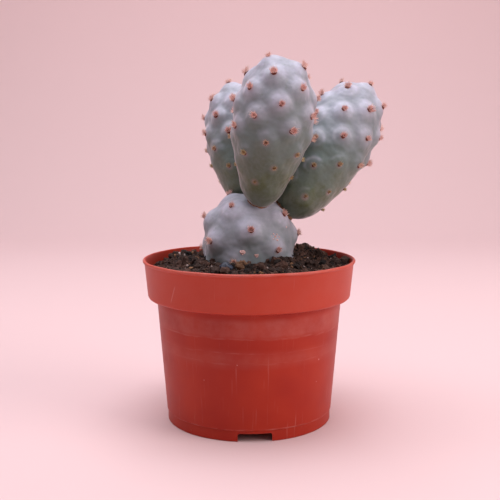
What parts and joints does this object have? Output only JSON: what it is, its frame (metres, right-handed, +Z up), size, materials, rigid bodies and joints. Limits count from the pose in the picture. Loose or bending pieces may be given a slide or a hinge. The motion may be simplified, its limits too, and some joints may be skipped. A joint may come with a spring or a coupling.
{
  "type": "potted jointed cactus",
  "caption": "Small spineless cactus of plump, warty blue-green stem joints, growing in soil in a thin tapered plastic nursery pot with a collar and drain notches.",
  "frame": {"origin": "on the surface the pot stands on, under the middle of the whole outline seen from above", "axes": "+Z up; the front, which shows the drain notch and the middle joint, faces -Y; +X is to the right seen from the front"},
  "size_m": [0.097, 0.085, 0.1427],
  "materials": {
    "pot_plastic": "satin",
    "cactus_skin": "matte",
    "peat": "matte",
    "root_bark": "matte",
    "stone": "matte",
    "bark": "matte"
  },
  "bodies": {
    "root": {"bark_chip": "bark", "base_joint": "cactus_skin", "centre_joint": "cactus_skin", "grey_stone": "stone", "left_joint": "cactus_skin", "peat_lump_1": "peat", "peat_lump_2": "peat", "peat_lump_3": "peat", "peat_lump_4": "peat", "peat_lump_5": "peat", "peat_lump_6": "peat", "peat_lump_7": "peat", "peat_lump_8": "peat", "peat_lump_9": "peat", "pot": "pot_plastic", "right_joint": "cactus_skin", "roots": "root_bark", "soil": "peat"}
  },
  "joints": []
}
